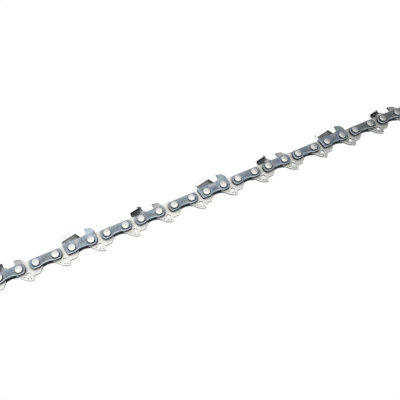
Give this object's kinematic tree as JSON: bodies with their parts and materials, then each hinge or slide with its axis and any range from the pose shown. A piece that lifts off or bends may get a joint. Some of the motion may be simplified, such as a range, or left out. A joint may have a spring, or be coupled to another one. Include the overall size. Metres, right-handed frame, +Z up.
{
  "type": "saw chain",
  "caption": "Straight stretch of low-profile saw chain: drive links with tangs, hinged on rivets between tie straps and alternating left and right cutters, free to bend in its own plane.",
  "frame": {"origin": "middle of the stretch's box, on the surface that the chain lies on", "axes": "+X along the chain, the way its cutters travel; +Y from the tangs to the cutting edges; +Z up, along the rivets"},
  "size_m": [0.2574, 0.016, 0.0059],
  "materials": {
    "link_steel": "bright hardened steel with a faint straw tint",
    "strap_steel": "blued steel, satin",
    "cutter_steel": "blued steel base under a chromed tooth",
    "rivet_steel": "bright spun rivet heads"
  },
  "bodies": {
    "group_01": {"far_cutter_01": "cutter_steel", "near_tie_strap_01": "strap_steel", "rivets_01": "rivet_steel"},
    "group_02": {"far_tie_strap_02": "strap_steel", "near_tie_strap_02": "strap_steel", "rivets_02": "rivet_steel"},
    "group_03": {"far_tie_strap_03": "strap_steel", "near_cutter_03": "cutter_steel", "rivets_03": "rivet_steel"},
    "group_04": {"far_tie_strap_04": "strap_steel", "near_tie_strap_04": "strap_steel", "rivets_04": "rivet_steel"},
    "group_05": {"far_cutter_05": "cutter_steel", "near_tie_strap_05": "strap_steel", "rivets_05": "rivet_steel"},
    "group_06": {"far_tie_strap_06": "strap_steel", "near_tie_strap_06": "strap_steel", "rivets_06": "rivet_steel"},
    "group_07": {"far_tie_strap_07": "strap_steel", "near_cutter_07": "cutter_steel", "rivets_07": "rivet_steel"},
    "group_08": {"far_tie_strap_08": "strap_steel", "near_tie_strap_08": "strap_steel", "rivets_08": "rivet_steel"},
    "group_09": {"far_cutter_09": "cutter_steel", "near_tie_strap_09": "strap_steel", "rivets_09": "rivet_steel"},
    "group_10": {"far_tie_strap_10": "strap_steel", "near_tie_strap_10": "strap_steel", "rivets_10": "rivet_steel"},
    "group_11": {"far_tie_strap_11": "strap_steel", "near_cutter_11": "cutter_steel", "rivets_11": "rivet_steel"},
    "group_12": {"far_tie_strap_12": "strap_steel", "near_tie_strap_12": "strap_steel", "rivets_12": "rivet_steel"},
    "group_13": {"far_cutter_13": "cutter_steel", "near_tie_strap_13": "strap_steel", "rivets_13": "rivet_steel"},
    "link_01": {"drive_link_01": "link_steel"},
    "link_02": {"drive_link_02": "link_steel"},
    "link_03": {"drive_link_03": "link_steel"},
    "link_04": {"drive_link_04": "link_steel"},
    "link_05": {"drive_link_05": "link_steel"},
    "link_06": {"drive_link_06": "link_steel"},
    "link_07": {"drive_link_07": "link_steel"},
    "link_08": {"drive_link_08": "link_steel"},
    "link_09": {"drive_link_09": "link_steel"},
    "link_10": {"drive_link_10": "link_steel"},
    "link_11": {"drive_link_11": "link_steel"},
    "link_12": {"drive_link_12": "link_steel"},
    "link_13": {"drive_link_13": "link_steel"},
    "link_14": {"drive_link_14": "link_steel"}
  },
  "joints": [
    {"name": "link_08_on_group_07", "type": "hinge", "parent": "group_07", "child": "link_08", "pos_m": [0.00499, -0.00042, 0.00296], "axis": [0, 0, -1], "range_deg": [-20, 35]},
    {"name": "group_08_on_link_08", "type": "hinge", "parent": "link_08", "child": "group_08", "pos_m": [0.01365, -0.00042, 0.00296], "axis": [0, 0, 1], "range_deg": [-35, 20]},
    {"name": "link_09_on_group_08", "type": "hinge", "parent": "group_08", "child": "link_09", "pos_m": [0.02363, -0.00042, 0.00296], "axis": [0, 0, -1], "range_deg": [-20, 35]},
    {"name": "group_09_on_link_09", "type": "hinge", "parent": "link_09", "child": "group_09", "pos_m": [0.03229, -0.00042, 0.00296], "axis": [0, 0, 1], "range_deg": [-35, 20]},
    {"name": "link_10_on_group_09", "type": "hinge", "parent": "group_09", "child": "link_10", "pos_m": [0.04227, -0.00042, 0.00296], "axis": [0, 0, -1], "range_deg": [-20, 35]},
    {"name": "group_10_on_link_10", "type": "hinge", "parent": "link_10", "child": "group_10", "pos_m": [0.05093, -0.00042, 0.00296], "axis": [0, 0, 1], "range_deg": [-35, 20]},
    {"name": "link_11_on_group_10", "type": "hinge", "parent": "group_10", "child": "link_11", "pos_m": [0.06091, -0.00042, 0.00296], "axis": [0, 0, -1], "range_deg": [-20, 35]},
    {"name": "group_11_on_link_11", "type": "hinge", "parent": "link_11", "child": "group_11", "pos_m": [0.06957, -0.00042, 0.00296], "axis": [0, 0, 1], "range_deg": [-35, 20]},
    {"name": "link_12_on_group_11", "type": "hinge", "parent": "group_11", "child": "link_12", "pos_m": [0.07955, -0.00042, 0.00296], "axis": [0, 0, -1], "range_deg": [-20, 35]},
    {"name": "group_12_on_link_12", "type": "hinge", "parent": "link_12", "child": "group_12", "pos_m": [0.08821, -0.00042, 0.00296], "axis": [0, 0, 1], "range_deg": [-35, 20]},
    {"name": "link_13_on_group_12", "type": "hinge", "parent": "group_12", "child": "link_13", "pos_m": [0.09819, -0.00042, 0.00296], "axis": [0, 0, -1], "range_deg": [-20, 35]},
    {"name": "group_13_on_link_13", "type": "hinge", "parent": "link_13", "child": "group_13", "pos_m": [0.10685, -0.00042, 0.00296], "axis": [0, 0, 1], "range_deg": [-35, 20]},
    {"name": "link_14_on_group_13", "type": "hinge", "parent": "group_13", "child": "link_14", "pos_m": [0.11683, -0.00042, 0.00296], "axis": [0, 0, -1], "range_deg": [-20, 35]},
    {"name": "link_07_on_group_07", "type": "hinge", "parent": "group_07", "child": "link_07", "pos_m": [-0.00499, -0.00042, 0.00296], "axis": [0, 0, 1], "range_deg": [-20, 35]},
    {"name": "group_06_on_link_07", "type": "hinge", "parent": "link_07", "child": "group_06", "pos_m": [-0.01365, -0.00042, 0.00296], "axis": [0, 0, -1], "range_deg": [-35, 20]},
    {"name": "link_06_on_group_06", "type": "hinge", "parent": "group_06", "child": "link_06", "pos_m": [-0.02363, -0.00042, 0.00296], "axis": [0, 0, 1], "range_deg": [-20, 35]},
    {"name": "group_05_on_link_06", "type": "hinge", "parent": "link_06", "child": "group_05", "pos_m": [-0.03229, -0.00042, 0.00296], "axis": [0, 0, -1], "range_deg": [-35, 20]},
    {"name": "link_05_on_group_05", "type": "hinge", "parent": "group_05", "child": "link_05", "pos_m": [-0.04227, -0.00042, 0.00296], "axis": [0, 0, 1], "range_deg": [-20, 35]},
    {"name": "group_04_on_link_05", "type": "hinge", "parent": "link_05", "child": "group_04", "pos_m": [-0.05093, -0.00042, 0.00296], "axis": [0, 0, -1], "range_deg": [-35, 20]},
    {"name": "link_04_on_group_04", "type": "hinge", "parent": "group_04", "child": "link_04", "pos_m": [-0.06091, -0.00042, 0.00296], "axis": [0, 0, 1], "range_deg": [-20, 35]},
    {"name": "group_03_on_link_04", "type": "hinge", "parent": "link_04", "child": "group_03", "pos_m": [-0.06957, -0.00042, 0.00296], "axis": [0, 0, -1], "range_deg": [-35, 20]},
    {"name": "link_03_on_group_03", "type": "hinge", "parent": "group_03", "child": "link_03", "pos_m": [-0.07955, -0.00042, 0.00296], "axis": [0, 0, 1], "range_deg": [-20, 35]},
    {"name": "group_02_on_link_03", "type": "hinge", "parent": "link_03", "child": "group_02", "pos_m": [-0.08821, -0.00042, 0.00296], "axis": [0, 0, -1], "range_deg": [-35, 20]},
    {"name": "link_02_on_group_02", "type": "hinge", "parent": "group_02", "child": "link_02", "pos_m": [-0.09819, -0.00042, 0.00296], "axis": [0, 0, 1], "range_deg": [-20, 35]},
    {"name": "group_01_on_link_02", "type": "hinge", "parent": "link_02", "child": "group_01", "pos_m": [-0.10685, -0.00042, 0.00296], "axis": [0, 0, -1], "range_deg": [-35, 20]},
    {"name": "link_01_on_group_01", "type": "hinge", "parent": "group_01", "child": "link_01", "pos_m": [-0.11683, -0.00042, 0.00296], "axis": [0, 0, 1], "range_deg": [-20, 35]}
  ]
}
